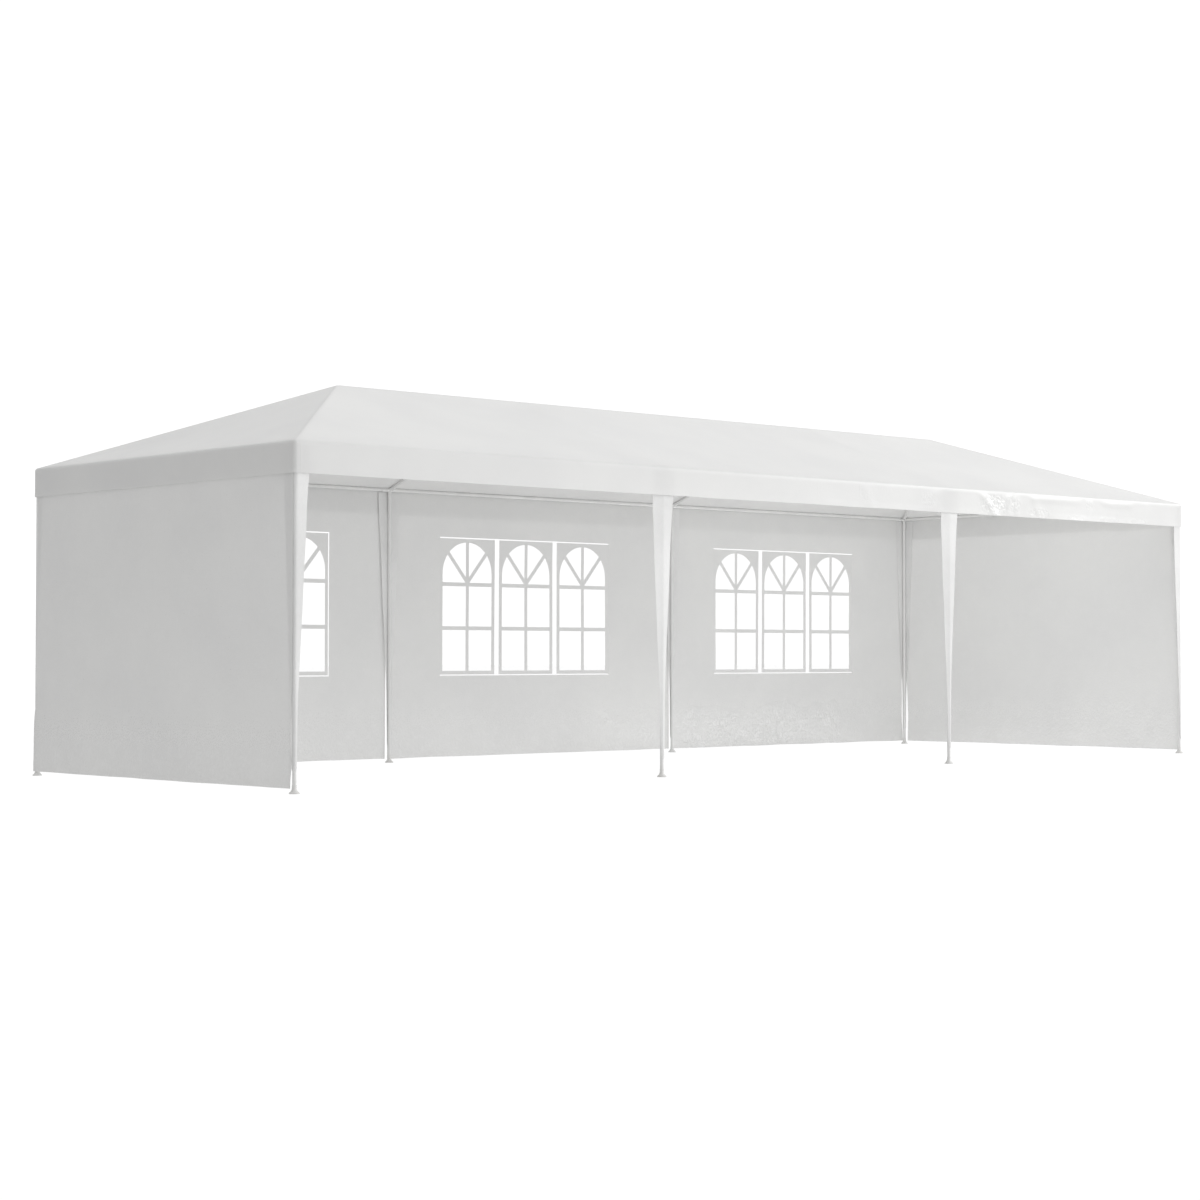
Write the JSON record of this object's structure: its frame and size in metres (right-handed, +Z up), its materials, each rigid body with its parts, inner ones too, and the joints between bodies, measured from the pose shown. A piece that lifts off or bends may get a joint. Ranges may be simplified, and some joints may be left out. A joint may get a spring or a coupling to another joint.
{
  "type": "marquee tent",
  "caption": "Long hip-roofed marquee tent on slender white tube legs, with tapered leg drapes, plain end walls, windowed rear walls and an open front.",
  "frame": {"origin": "on the ground at the centre of the tent's footprint", "axes": "+X along the tent's length, -Y out of the open front, +Z up"},
  "size_m": [9.065, 3.065, 2.6435],
  "materials": {
    "white_tube": "white powder coat, satin",
    "cover_cloth": "white coated woven tarpaulin, semi-gloss",
    "wall_cloth": "white coated woven tarpaulin, semi-gloss",
    "clear_film": "clear glossy film with a printed white window pattern"
  },
  "bodies": {
    "root": {"leg_front_1": "white_tube", "leg_front_2": "white_tube", "leg_front_3": "white_tube", "leg_front_4": "white_tube", "leg_rear_1": "white_tube", "leg_rear_2": "white_tube", "leg_rear_3": "white_tube", "leg_rear_4": "white_tube", "eave_joint_front_1": "white_tube", "eave_joint_front_2": "white_tube", "eave_joint_front_3": "white_tube", "eave_joint_front_4": "white_tube", "eave_joint_rear_1": "white_tube", "eave_joint_rear_2": "white_tube", "eave_joint_rear_3": "white_tube", "eave_joint_rear_4": "white_tube", "eave_tube_front_1": "white_tube", "eave_tube_front_2": "white_tube", "eave_tube_front_3": "white_tube", "eave_tube_rear_1": "white_tube", "eave_tube_rear_2": "white_tube", "eave_tube_rear_3": "white_tube", "eave_tube_left": "white_tube", "eave_tube_right": "white_tube", "hip_rafter_front_1": "white_tube", "hip_rafter_front_4": "white_tube", "hip_rafter_rear_1": "white_tube", "hip_rafter_rear_4": "white_tube", "rafter_front_2": "white_tube", "rafter_front_3": "white_tube", "rafter_rear_2": "white_tube", "rafter_rear_3": "white_tube", "ridge_beam": "white_tube", "roof_slope_front": "cover_cloth", "roof_slope_rear": "cover_cloth", "roof_end_left": "cover_cloth", "roof_end_right": "cover_cloth", "valance_front": "cover_cloth", "valance_rear": "cover_cloth", "valance_left": "cover_cloth", "valance_right": "cover_cloth", "leg_drape_front_1": "cover_cloth", "leg_drape_front_2": "cover_cloth", "leg_drape_front_3": "cover_cloth", "leg_drape_front_4": "cover_cloth", "leg_drape_rear_1": "cover_cloth", "leg_drape_rear_2": "cover_cloth", "leg_drape_rear_3": "cover_cloth", "leg_drape_rear_4": "cover_cloth", "wall_left": "wall_cloth", "wall_right": "wall_cloth", "wall_rear_1": "wall_cloth", "wall_rear_2": "wall_cloth", "wall_rear_3": "wall_cloth", "window_film_1": "clear_film", "window_film_2": "clear_film", "window_film_3": "clear_film"}
  },
  "joints": []
}
